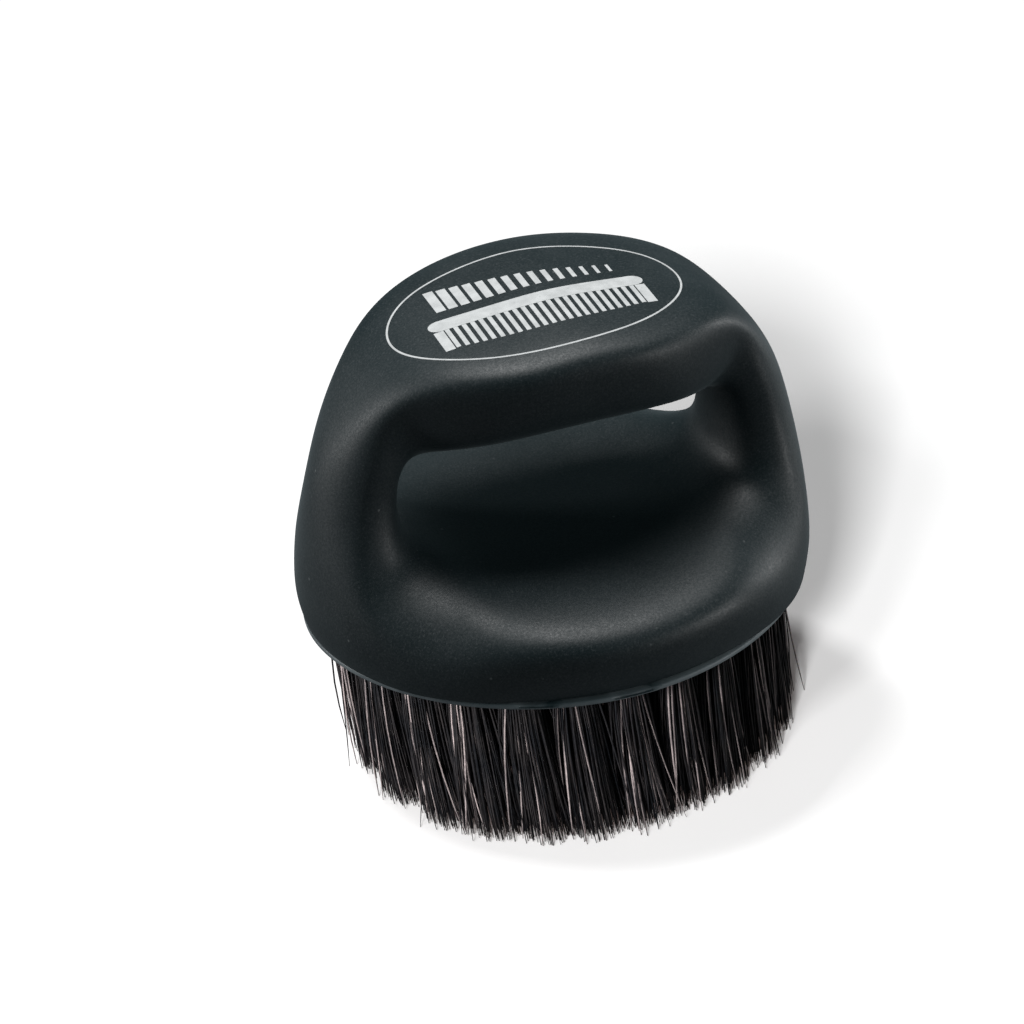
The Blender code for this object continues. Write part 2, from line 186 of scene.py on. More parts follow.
def dome_profile():
    """heights and half widths of the dome's side, from station 3 to station 8"""
    fine = 8
    line = periodic_spline(close_loop(outer_line(), [0]), LOOP_STATIONS * fine)
    line = line[fine * 3:fine * 8 + 1]
    order = np.argsort(line[:, 1])
    return line[order, 1], line[order, 0]


def dome_width(y, z, profile):
    """half width of the oval dome at depth y and height z"""
    half = np.interp(z, profile[0], profile[1])
    depth = np.interp(z, (14, 43), (BASE_HALF_Y, DOME_HALF_Y))
    share = np.minimum(1.0, np.abs(y) / depth) ** PLAN_POWER
    return half * np.clip(1 - share, 0, 1) ** (1 / PLAN_POWER)


# columns of the station table
OUTER, INNER, EDGE = slice(0, 2), slice(2, 4), slice(4, 6)    # x and z of each point
DEPTH, POWER_OUT, POWER_IN, FOLLOW = 6, 7, 8, 9


def tunnel_point(degrees):
    middle = (LOOP_FLOOR_Z + LOOP_ROOF_Z) / 2
    half = (LOOP_ROOF_Z - LOOP_FLOOR_Z) / 2
    sine, cosine = math.sin(math.radians(degrees)), math.cos(math.radians(degrees))
    return (LOOP_HALF_X * signed_power(sine, 2 / LOOP_POWER),
            middle - half * signed_power(cosine, 2 / LOOP_POWER))


def base_depth(x):
    """half depth of the base's plan at x"""
    share = min(1, x / BASE_HALF_X) ** PLAN_POWER
    return BASE_HALF_Y * (1 - share) ** (1 / PLAN_POWER)


def handle_stations():
    """Sections round the loop, bottom centre to top centre and back.

    Each section runs from an outer point on the dome, over an edge line that
    stands forward by a half depth, to an inner point on the finger tunnel.
    """
    outer = outer_line()
    inner = [tunnel_point(degrees) for degrees in LOOP_ANGLES]

    def post_edge_x(k):
        return outer[k][0] + POST_EDGE * (inner[k][0] - outer[k][0])

    # base, stations 0 to 3
    edge = [(0, BASE_EDGE_Z), (15.5, BASE_EDGE_Z), (27, BASE_EDGE_Z + 0.2),
            (34, BASE_EDGE_Z + 1.2)]
    depth = [base_depth(x) for x, _ in edge]
    # foot, station 4
    foot_depth = POST_HALF_Y + POST_FLARE[0]
    on_dome = float(dome_width(foot_depth, FOOT_Z, dome_profile()))
    edge.append(((post_edge_x(4) + on_dome) / 2, FOOT_Z))
    depth.append(foot_depth)
    # post, stations 5 to 8
    rise = PAD_HALF_Y - POST_HALF_Y
    for k, more in zip((5, 6, 7, 8), (POST_FLARE[1], 0.0, rise * PAD_PLAN[0], rise * PAD_PLAN[1])):
        edge.append((post_edge_x(k), 0.8 * outer[k][1] + 0.2 * inner[k][1]))
        depth.append(POST_HALF_Y + more)
    # thumb pad, stations 9 to 11
    edge += [(CROWN[0][0] * 0.97, PAD_EDGE_Z - 3.2), (CROWN[1][0], PAD_EDGE_Z - 0.7),
             (0, PAD_EDGE_Z)]
    depth += [POST_HALF_Y + rise * PAD_PLAN[2], POST_HALF_Y + rise * PAD_PLAN[3], PAD_HALF_Y]

    base, post, pad = SQUARE_OUT
    power_out = ([base] * 3 + [0.6 * base + 0.4 * post] + [post] * 4
                 + [(post + pad) / 2] + [pad] * 3)
    base, post, pad = SQUARE_IN
    power_in = [base] * 2 + SQUARE_IN_FOOT + [post] * 3 + [(post + pad) / 2] + [pad] * 3
    half_loop = np.column_stack([outer, inner, edge, depth, power_out, power_in, DOME_FOLLOW])
    return close_loop(half_loop, [0, 2, 4])


def smooth_limit(grid):
    """where subdivision will draw the cage points to"""
    for axis in (0, 1):
        grid = (np.roll(grid, 1, axis) + 4 * grid + np.roll(grid, -1, axis)) / 6.0
    return grid


def soft_step(value, low, high):
    share = np.clip((value - low) / (high - low), 0, 1)
    return share * share * (3 - 2 * share)


def ease_feet(grid):
    """relaxes the hollow between each post's foot and the base, so that they flow together"""
    along = np.arange(STATIONS) * LOOP_STATIONS / STATIONS
    along = np.minimum(along, LOOP_STATIONS - along)
    at_foot = soft_step(along, 1.5, 3.0) * (1 - soft_step(along, 6.0, 7.5))
    # place of a section point: outer line 0, edge 1/4, tunnel 1/2
    place = np.arange(SECTION) / SECTION
    place = np.minimum(place, 1 - place)
    side = np.interp(place, (0.125, 0.1875, 0.25, 0.3125, 0.4375, 0.5),
                     (0.0, 0.2, 0.6, 1.0, 1.0, 0.25))
    share = (at_foot[:, None] * side[None, :])[:, :, None]
    for _ in range(FOOT_PASSES):
        step = np.zeros_like(grid)
        for axis, weight in enumerate(FOOT_EASE):
            step += weight * ((np.roll(grid, 1, axis) + np.roll(grid, -1, axis)) / 2 - grid)
        grid = grid + share * step
    return grid


def handle_cage():
    """closed grid of cage points (round the loop, round the section, xyz)"""
    table = periodic_spline(handle_stations(), STATIONS)
    profile = dome_profile()
    grid = np.zeros((STATIONS, SECTION, 3))
    for j in range(SECTION):
        angle = 2 * math.pi * j / SECTION
        sine, cosine = snap_zero(math.sin(angle)), snap_zero(math.cos(angle))
        outside = cosine >= 0
        aim = table[:, OUTER if outside else INNER]
        power = table[:, POWER_OUT if outside else POWER_IN]
        reach = np.abs(cosine) ** (2 / power)
        flat = table[:, EDGE] + (aim - table[:, EDGE]) * reach[:, None]
        y = -np.sign(sine) * np.abs(sine) ** (2 / power) * table[:, DEPTH]
        if outside:
            on_dome = dome_width(y, flat[:, 1], profile) * np.sign(table[:, 0])
            share = np.clip(table[:, FOLLOW], 0, 1)
            flat[:, 0] = flat[:, 0] * (1 - share) + on_dome * share
        grid[:, j, 0] = flat[:, 0]
        grid[:, j, 1] = y
        grid[:, j, 2] = flat[:, 1]
    grid = ease_feet(grid)
    wanted = grid.copy()
    for _ in range(2):                      # push the cage out to meet the sizes
        grid = grid + (wanted - smooth_limit(grid)) * 0.7
    return grid


def ring_spots(half_x, half_y, count, phase):
    """evenly spaced spots along an ellipse"""
    steps = 720
    fine = oval(half_x, half_y, steps, 2.0)
    length = [0.0]
    for (x0, y0), (x1, y1) in zip(fine, fine[1:] + fine[:1]):
        length.append(length[-1] + math.hypot(x1 - x0, y1 - y0))
    spots = []
    for k in range(count):
        want = length[-1] * (k + phase) / count
        i = next(n for n in range(steps) if length[n + 1] >= want - 1e-9)
        part = (want - length[i]) / (length[i + 1] - length[i])
        (x0, y0), (x1, y1) = fine[i], fine[(i + 1) % steps]
        spots.append((x0 + (x1 - x0) * part, y0 + (y1 - y0) * part))
    return spots


def tuft_layout():
    """name and spot of every tuft; every other ring is shifted by half a step"""
    layout = []
    for index, (name, half_x, half_y, count) in enumerate(RINGS):
        spots = ring_spots(half_x, half_y, count, 0.5 if index % 2 else 0.0)
        for k, spot in enumerate(spots):
            layout.append(("tuft_%s_%02d" % (name, k + 1), spot))
    for k in range(3):
        layout.append(("tuft_centre_%02d" % (k + 1), ((k - 1) * ROW_PITCH, 0.0)))
    return layout


# ---------------------------------------------------------------- helpers
def around(turn, up, far=1.0):
    """a point at a turn (degrees from the front, to the right) and a height angle"""
    turn, up = math.radians(turn), math.radians(up)
    return Vector((far * math.sin(turn) * math.cos(up), -far * math.cos(turn) * math.cos(up),
                   far * math.sin(up)))


def add_ring(bm, points):
    """vertices at points given in mm"""
    return [bm.verts.new((x * MM, y * MM, z * MM)) for x, y, z in points]


def add_oval(bm, half_x, half_y, z, count):
    return add_ring(bm, [(x, y, z) for x, y in oval(half_x, half_y, count)])


def close_rings(bm, rings):
    """closed solid through rings of vertices, bottom to top"""
    count = len(rings[0])
    for low, high in zip(rings, rings[1:]):
        for i in range(count):
            k = (i + 1) % count
            bm.faces.new((low[i], low[k], high[k], high[i]))
    bm.faces.new(list(reversed(rings[0])))
    bm.faces.new(rings[-1])


def shade(mesh, sharp_angle):
    mesh.shade_smooth()
    mesh.set_sharp_from_angle(angle=math.radians(sharp_angle))


def add_object(name, data):
    ob = bpy.data.objects.new(name, data)
    bpy.context.scene.collection.objects.link(ob)
    return ob


def add_mesh(name, bm, mat):
    bmesh.ops.recalc_face_normals(bm, faces=bm.faces)
    mesh = bpy.data.meshes.new(name)
    bm.to_mesh(mesh)
    bm.free()
    ob = add_object(name, mesh)
    mesh.materials.append(mat)
    shade(mesh, 40)
    return ob


def bake_modifiers(ob):
    """replaces the object's mesh with its evaluated mesh"""
    depsgraph = bpy.context.evaluated_depsgraph_get()
    mesh = bpy.data.meshes.new_from_object(ob.evaluated_get(depsgraph), depsgraph=depsgraph)
    mesh.name = ob.name
    ob.modifiers.clear()
    ob.data = mesh


def boolean_cut(ob, tool):
    cut = ob.modifiers.new("cut", "BOOLEAN")
    cut.operation = "DIFFERENCE"
    cut.solver = "EXACT"
    cut.object = tool
    bake_modifiers(ob)
    bpy.data.objects.remove(tool)


def stand_for(ob, cad_node):
    """puts the object in the place of a CAD piece: attaches it to the body and hides the piece"""
    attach(ob, BODY)
    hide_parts(cad_node)


class Nodes:
    """short-hand for building a node material; its textures use object coordinates"""

    def __init__(self, name):
        self.mat = bpy.data.materials.new(name)
        self.mat.use_nodes = True
        self.tree = self.mat.node_tree
        self.bsdf = self.tree.nodes["Principled BSDF"]
        self.coord = self.node("TexCoord", {}).outputs["Object"]

    def fill(self, node, inputs):
        """links or sets inputs, given by name or index"""
        for key, value in inputs.items():
            if isinstance(value, bpy.types.NodeSocket):
                self.tree.links.new(value, node.inputs[key])
            else:
                node.inputs[key].default_value = value

    def node(self, kind, inputs, **settings):
        node = self.tree.nodes.new("ShaderNode" + kind)
        for key, value in settings.items():
            setattr(node, key, value)
        self.fill(node, inputs)
        return node

    def noise(self, scale, detail, rough, distortion=0.0):
        return self.node("TexNoise", {
            "Vector": self.coord, "Scale": scale, "Detail": detail, "Roughness": rough,
            "Distortion": distortion}).outputs["Fac"]

    def remap(self, value, span, to, kind="SMOOTHSTEP"):
        """carries the range span onto the range to"""
        return self.node("MapRange", {0: value, 1: span[0], 2: span[1], 3: to[0], 4: to[1]},
                         interpolation_type=kind).outputs[0]

    def combine(self, operation, first, second):
        return self.node("Math", {0: first, 1: second}, operation=operation).outputs[0]

    def mix(self, share, base, over):
        """RGBA colours: base at share 0, over at share 1"""
        return self.node("Mix", {0: share, 6: base, 7: over}, data_type="RGBA").outputs[2]

    def bump(self, height, strength, distance, below=None):
        """distance in metres; below is the normal it adds to"""
        inputs = {"Strength": strength, "Distance": distance, "Height": height}
        if below is not None:
            inputs["Normal"] = below
        return self.node("Bump", inputs).outputs["Normal"]

    def finish(self, inputs):
        self.fill(self.bsdf, inputs)
        return self.mat


# ---------------------------------------------------------------- materials
def soft_touch():
    """matt rubbery black: fine speckle, cloudy handling marks, chalky rubs and a little dust"""
    m = Nodes("soft_touch_black")
    clouds = m.noise(scale=55, detail=4, rough=0.6)
    rubs = m.noise(scale=34, detail=5, rough=0.62, distortion=0.8)
    speck = m.noise(scale=3000, detail=2, rough=0.7)
    grain = m.noise(scale=5200, detail=2, rough=0.6)
    ripple = m.noise(scale=2300, detail=2, rough=0.6)
    glint = m.noise(scale=2800, detail=3, rough=0.75)
    dust = m.node("TexVoronoi", {"Vector": m.coord, "Scale": 420}).outputs["Distance"]
    dot = m.remap(dust, span=(0.05, 0.13), to=(1.0, 0.0))
    rare = m.remap(m.noise(scale=170, detail=2, rough=0.5), span=(0.57, 0.68), to=(0.0, 1.0))

    colour = m.mix(m.remap(clouds, span=(0.35, 0.7), to=(0.0, 1.0)),
                   base=(0.0042, 0.0108, 0.0130, 1), over=(0.0076, 0.0152, 0.0178, 1))
    colour = m.mix(m.remap(rubs, span=(0.56, 0.74), to=(0.0, 0.55)),
                   base=colour, over=(0.0180, 0.0265, 0.0290, 1))
    colour = m.mix(m.remap(speck, span=(0.54, 0.72), to=(0.0, 0.65)),
                   base=colour, over=(0.034, 0.043, 0.047, 1))
    dust_amount = m.combine("MULTIPLY", dot, m.combine("MULTIPLY", rare, 0.6))
    colour = m.mix(dust_amount, base=colour, over=(0.18, 0.19, 0.19, 1))
    rough = m.combine("ADD", m.remap(clouds, span=(0.3, 0.75), to=(0.50, 0.60)),
                      m.remap(speck, span=(0.3, 0.8), to=(-0.07, 0.07)))
    normal = m.bump(grain, strength=0.20, distance=0.00006)
    normal = m.bump(ripple, strength=0.13, distance=0.0001, below=normal)
    shine = m.remap(glint, span=(0.36, 0.66), to=(0.38, 0.62))
    return m.finish({"Base Color": colour, "Roughness": rough, "Normal": normal,
                     "Sheen Weight": 0.12, "Sheen Roughness": 0.36,
                     "Sheen Tint": (0.75, 0.90, 0.95, 1), "Specular IOR Level": shine})


def plate_plastic():
    """harder moulded black with faint flow marks, its colour painted a lighter grey as a painted
    highlight for the light the lip catches
    """
    m = Nodes("plate_black")
    flow = m.noise(scale=140, detail=3, rough=0.5, distortion=1.5)
    fine = m.noise(scale=3800, detail=2, rough=0.6)
    # painted highlight: light grey instead of black, standing in for the light that catches the
    # lip
    colour = m.mix(m.remap(flow, span=(0.35, 0.7), to=(0, 1)),
                   base=(0.160, 0.186, 0.198, 1), over=(0.215, 0.245, 0.258, 1))
    rough = m.combine("ADD", m.remap(flow, span=(0.3, 0.7), to=(0.42, 0.54)),
                      m.remap(fine, span=(0.3, 0.7), to=(-0.04, 0.04)))
    return m.finish({"Base Color": colour, "Roughness": rough, "Specular IOR Level": 0.5,
                     "Normal": m.bump(fine, strength=0.18, distance=0.00005)})


def bristle_hair():
    """natural bristle: mostly black, some brown-grey, darker and lighter along its length; pale
    hairs are darkened towards their roots as painted shade under the lip
    """
    m = Nodes("bristle_black")
    pale = m.node("Attribute", {}, attribute_name="shade").outputs["Fac"]
    along = m.node("Attribute", {}, attribute_name="along").outputs["Fac"]
    streak = m.noise(scale=1500, detail=3, rough=0.6)
    warm = m.noise(scale=240, detail=2, rough=0.5)
    dark = m.mix(m.remap(warm, span=(0.35, 0.65), to=(0, 1)),
                 base=(0.0016, 0.0022, 0.0032, 1), over=(0.0046, 0.0042, 0.0046, 1))
    light = m.mix(m.remap(warm, span=(0.35, 0.65), to=(0, 1)),
                  base=(0.170, 0.142, 0.142, 1), over=(0.240, 0.200, 0.196, 1))
    amount = m.combine("MULTIPLY", pale, m.remap(streak, span=(0.25, 0.75), to=(0.65, 1.15)))
    # painted shade: pale hairs darken towards their roots, where the lip above shades them
    amount = m.combine("MULTIPLY", amount, m.remap(along, span=(0.0, 0.35), to=(0.35, 1.0)))
    return m.finish({"Base Color": m.mix(amount, base=dark, over=light),
                     "Roughness": m.remap(streak, span=(0.3, 0.7), to=(0.42, 0.62)),
                     "Specular IOR Level": 0.16})


def drawn_wire():
    """bright metal with faint mottling"""
    m = Nodes("drawn_wire")
    draw = m.noise(scale=900, detail=3, rough=0.6)
    colour = m.mix(m.remap(draw, span=(0.3, 0.7), to=(0, 1)),
                   base=(0.46, 0.46, 0.44, 1), over=(0.62, 0.61, 0.58, 1))
    return m.finish({"Base Color": colour, "Metallic": 1.0,
                     "Roughness": m.remap(draw, span=(0.3, 0.7), to=(0.28, 0.42)),
                     "Normal": m.bump(draw, strength=0.15, distance=0.00003)})


def pad_ink():
    """pad-printed pale grey ink, a little uneven"""
    m = Nodes("print_ink")
    patch = m.noise(scale=500, detail=3, rough=0.6)
    pin = m.noise(scale=3200, detail=2, rough=0.6)
    colour = m.mix(m.remap(patch, span=(0.3, 0.7), to=(0, 1)),
                   base=(0.52, 0.53, 0.53, 1), over=(0.63, 0.64, 0.64, 1))
    colour = m.mix(m.remap(pin, span=(0.62, 0.78), to=(0, 0.5)),
                   base=colour, over=(0.26, 0.27, 0.27, 1))
    return m.finish({"Base Color": colour,
                     "Roughness": m.remap(patch, span=(0.3, 0.7), to=(0.5, 0.62)),
                     "Normal": m.bump(pin, strength=0.15, distance=0.00004)})


def pale_floor():
    """white floor to the eye; dark to the light that would bounce up from it"""
    m = Nodes("pale_floor")
    cloud = m.node("TexNoise", {"Vector": m.coord, "Scale": 40}).outputs["Fac"]
    m.finish({"Base Color": m.remap(cloud, span=(0, 1), to=(0.93, 0.97), kind="LINEAR"),
              "Roughness": 0.9, "Specular IOR Level": 0.0})
    glow = m.node("Emission", {"Color": (1.0, 0.74, 0.68, 1), "Strength": 0.085})
    seen = m.node("AddShader", {0: m.bsdf.outputs[0], 1: glow.outputs[0]})
    dark = m.node("BsdfDiffuse", {"Color": (0.10, 0.105, 0.11, 1)})
    to_eye = m.node("LightPath", {}).outputs["Is Camera Ray"]
    mixed = m.node("MixShader", {0: to_eye, 1: dark.outputs[0], 2: seen.outputs[0]})
    m.fill(m.tree.nodes["Material Output"], {"Surface": mixed.outputs[0]})
    return m.mat


# ---------------------------------------------------------------- handle skin
SHARP_ANGLE = 42             # edges of the cut pieces sharper than this stay sharp (degrees)
TRIM_WIDTH = 120
TRIM_HEIGHT = 20


def trim_tool(mat, top):
    """block whose top face makes the flat underside"""
    bm = bmesh.new()
    bmesh.ops.create_cube(bm, size=1.0)
    for v in bm.verts:
        v.co = Vector((v.co.x * TRIM_WIDTH * MM, v.co.y * TRIM_WIDTH * MM,
                       (top - TRIM_HEIGHT + (v.co.z + 0.5) * TRIM_HEIGHT) * MM))
    return add_mesh("trim_tool", bm, mat)


def pocket_tool(mat, top):
    """oval block for the plate's pocket, chamfered at its roof"""
    half_x, half_y = BASE_HALF_X - POCKET_INSET, BASE_HALF_Y - POCKET_INSET
    bm = bmesh.new()
    rings = []
    # height above the flat underside, inset from the wall
    for z, inset in ((-2, 0), (POCKET_DEPTH - POCKET_CHAMFER, 0), (POCKET_DEPTH, POCKET_CHAMFER)):
        rings.append(add_oval(bm, half_x - inset, half_y - inset, top + z, 128))
    close_rings(bm, rings)
    return add_mesh("pocket_tool", bm, mat)


def build_skin(mat):
    bm = bmesh.new()
    rows = [add_ring(bm, [(x, y, LIP_Z + z) for x, y, z in row]) for row in handle_cage()]
    for i in range(STATIONS):
        row, after = rows[i], rows[(i + 1) % STATIONS]
        for j in range(SECTION):
            k = (j + 1) % SECTION
            bm.faces.new((row[j], row[k], after[k], after[j]))
    skin = add_mesh("handle_skin", bm, mat)
    rounding = skin.modifiers.new("round", "SUBSURF")
    rounding.levels = rounding.render_levels = 3
    bake_modifiers(skin)

    underside = LIP_Z + FLANGE_THICK + GAP
    boolean_cut(skin, trim_tool(mat, underside))
    boolean_cut(skin, pocket_tool(mat, underside))
    shade(skin.data, SHARP_ANGLE)
    stand_for(skin, "handle_shell")
    return skin


# ---------------------------------------------------------------- plate with its lip
PLATE_SIDES = 288
# rounded edge of the lip: height, inset from the lip edge
LIP_LEVELS = ((0.0, 0.45), (0.07, 0.2), (0.2, 0.06), (0.36, 0.0), (0.72, 0.0), (0.88, 0.06),
              (FLANGE_THICK, 0.24))
# parting marks where the lip meets the base: angle round the oval (degrees), half width
LIP_MARKS = ((-113.0, 2.6), (-91.0, 3.0), (-38.0, 1.4), (64.0, 2.2), (141.0, 1.6))
MARK_EASE = 0.5              # length over which a mark fades out at each end
MARK_INSET, MARK_DROP = 0.5, 0.4
MARK_FROM_Z = 0.6            # only lip levels above this are marked


def mark_strength(x, y, lip_x, lip_y):
    """how deep the parting marks are at a point of the lip edge, 0 to 1"""
    angle = math.degrees(math.atan2(y / lip_y, x / lip_x))
    strength = 0.0
    for centre, half in LIP_MARKS:
        away = math.radians(abs((angle - centre + 180) % 360 - 180)) * lip_x
        strength = max(strength, 1.0 - min(1.0, max(0.0, away - half) / MARK_EASE))
    return strength


def bore_tool(mat, layout):
    bm = bmesh.new()
    # radius, height
    levels = ((BORE_R + BORE_FLARE, -0.3), (BORE_R + BORE_FLARE, 0.0), (BORE_R, 0.3),
              (BORE_R, BORE_DEPTH))
    turns = [2 * math.pi * i / BORE_SIDES for i in range(BORE_SIDES)]
    for _, (x, y) in layout:
        close_rings(bm, [
            add_ring(bm, [(x + radius * math.cos(turn), y + radius * math.sin(turn), LIP_Z + z)
                          for turn in turns])
            for radius, z in levels])
    return add_mesh("bore_tool", bm, mat)


def build_plate(mat, layout):
    lip_x, lip_y = BASE_HALF_X - LIP_INSET, BASE_HALF_Y - LIP_INSET
    in_x, in_y = BASE_HALF_X - POCKET_INSET - GAP, BASE_HALF_Y - POCKET_INSET - GAP
    outline = [(x, y, mark_strength(x, y, lip_x, lip_y))
               for x, y in oval(lip_x, lip_y, PLATE_SIDES)]
    bm = bmesh.new()
    rings = []
    for z, inset in LIP_LEVELS:
        marked = z > MARK_FROM_Z
        points = []
        for x, y, mark in outline:
            shrink = 1 - (inset + MARK_INSET * mark * marked) / math.hypot(x, y)
            points.append((x * shrink, y * shrink, LIP_Z + z - MARK_DROP * mark * marked))
        rings.append(add_ring(bm, points))
    for z, inset in ((FLANGE_THICK, 0), (PLATE_HEIGHT - PLATE_CHAMFER, 0),
                     (PLATE_HEIGHT, PLATE_CHAMFER)):
        rings.append(add_oval(bm, in_x - inset, in_y - inset, LIP_Z + z, PLATE_SIDES))
    close_rings(bm, rings)
    plate = add_mesh("plate_piece", bm, mat)
    boolean_cut(plate, bore_tool(mat, layout))
    shade(plate.data, SHARP_ANGLE)
    stand_for(plate, "bristle_plate")


# ---------------------------------------------------------------- bristles
HAIRS = {"outer": 215, "middle": 150, "inner": 120, "centre": 120}    # hairs in a tuft
FIRST_SEED = 700
ROOT_Z = 3.0                 # roots above the lip's lower face, inside the bores
PACK_R, PACK_LIMIT = 2.72, 2.78     # radius the roots fill, and the most one may stray to
PACK_TURN = 2.39996          # golden angle between one root and the next (radians)
SPREAD = 0.36                # how much wider a tuft is at its tips
WALL_SPREAD = 0.42           # further spread along the outer ring, closing it into a wall
LEAN = (2.1, -0.7)           # combed lean of all the tips
SPLAY = 4.2                  # extra splay at the front left, where the brush is pressed most
SPLAY_SHARE = (0.38, 1.0)    # the splay's share along X and Y
FLARE = (-1.2, 2.2)          # how far the outer tips stand in along X and out along Y
STRAY_SHARE, SHORT_SHARE = 0.09, 0.07
MID_SHARE, LIGHT_SHARE = 0.07, 0.04     # hairs of middling and of pale shade
FACE_FROM, FACE_SHARE = 1.75, 0.17      # outer face of the wall, and its share of pale hairs
TIP_MARGIN = (0.4, 0.6)      # how far tips may stand outside the base along X and Y
HAIR_SIDES, HAIR_RINGS = 4, 7
TAPER = ((0, 0.6, 0.93, 1.0), (1.0, 0.92, 0.72, 0.35))    # places along a hair, radius shares


def hair_points(root, tip, sway, bend, radius, t):
    """points of the hairs' tubes (hair, ring, side, xyz) at the shares t of their length"""
    path = (root[:, None] + (tip - root)[:, None] * (0.55 * t + 0.45 * t ** 2)[None, :, None]
            + bend[:, None] * np.sin(math.pi * t)[None, :, None]
            + sway[:, None] * np.sin(2 * math.pi * t)[None, :, None])
    # heights are evenly spaced; only the sideways run is curved
    path[:, :, 2] = root[:, None, 2] + (tip - root)[:, None, 2] * t[None, :]
    along = np.gradient(path, axis=1)
    along /= np.linalg.norm(along, axis=2, keepdims=True)
    side = np.cross(along, np.array([0.3, 0.95, 0.02]))
    side /= np.linalg.norm(side, axis=2, keepdims=True)
    other = np.cross(along, side)
    angle = (np.arange(HAIR_SIDES) * 2 * math.pi / HAIR_SIDES)[None, None, :, None]
    reach = radius[:, None, None, None] * np.interp(t, *TAPER)[None, :, None, None]
    return path[:, :, None] + reach * (np.cos(angle) * side[:, :, None]
                                       + np.sin(angle) * other[:, :, None])


def hair_faces(count):
    """vertex indices of the walls and end caps of all the tubes"""
    sides, per_hair = HAIR_SIDES, HAIR_RINGS * HAIR_SIDES
    i, j = np.meshgrid(np.arange(HAIR_RINGS - 1), np.arange(sides), indexing="ij")
    after = (j + 1) % sides
    walls = np.stack([i * sides + j, i * sides + after, (i + 1) * sides + after,
                      (i + 1) * sides + j], -1).reshape(-1, 4)
    caps = np.array([list(range(sides))[::-1], list(range(per_hair - sides, per_hair))])
    one = np.vstack([walls, caps])
    return (one[None] + (np.arange(count) * per_hair)[:, None, None]).reshape(-1, 4)


def hair_object(name, root, tip, sway, bend, radius, tone, mat):
    """closed tapered tubes, one per hair, from one row of each array (mm) per hair"""
    count = len(root)
    t = np.linspace(0, 1, HAIR_RINGS)
    verts = hair_points(root, tip, sway, bend, radius, t).reshape(-1, 3) * MM
    faces = hair_faces(count)
    mesh = bpy.data.meshes.new(name)
    mesh.vertices.add(len(verts))
    mesh.vertices.foreach_set("co", verts.astype(np.float32).ravel())
    mesh.loops.add(faces.size)
    mesh.loops.foreach_set("vertex_index", faces.astype(np.int32).ravel())
    mesh.polygons.add(len(faces))
    mesh.polygons.foreach_set("loop_start", np.arange(0, faces.size, 4, dtype=np.int32))
    mesh.update(calc_edges=True)
    bm = bmesh.new()
    bm.from_mesh(mesh)
    bmesh.ops.recalc_face_normals(bm, faces=bm.faces)
    bm.to_mesh(mesh)
    bm.free()
    for label, values in (("shade", np.repeat(tone, HAIR_RINGS * HAIR_SIDES)),
                          ("along", np.tile(np.repeat(t, HAIR_SIDES), count))):
        attribute = mesh.attributes.new(label, "FLOAT", "POINT")
        attribute.data.foreach_set("value", values.astype(np.float32))
    mesh.shade_smooth()
    mesh.materials.append(mat)
    return add_object(name, mesh)


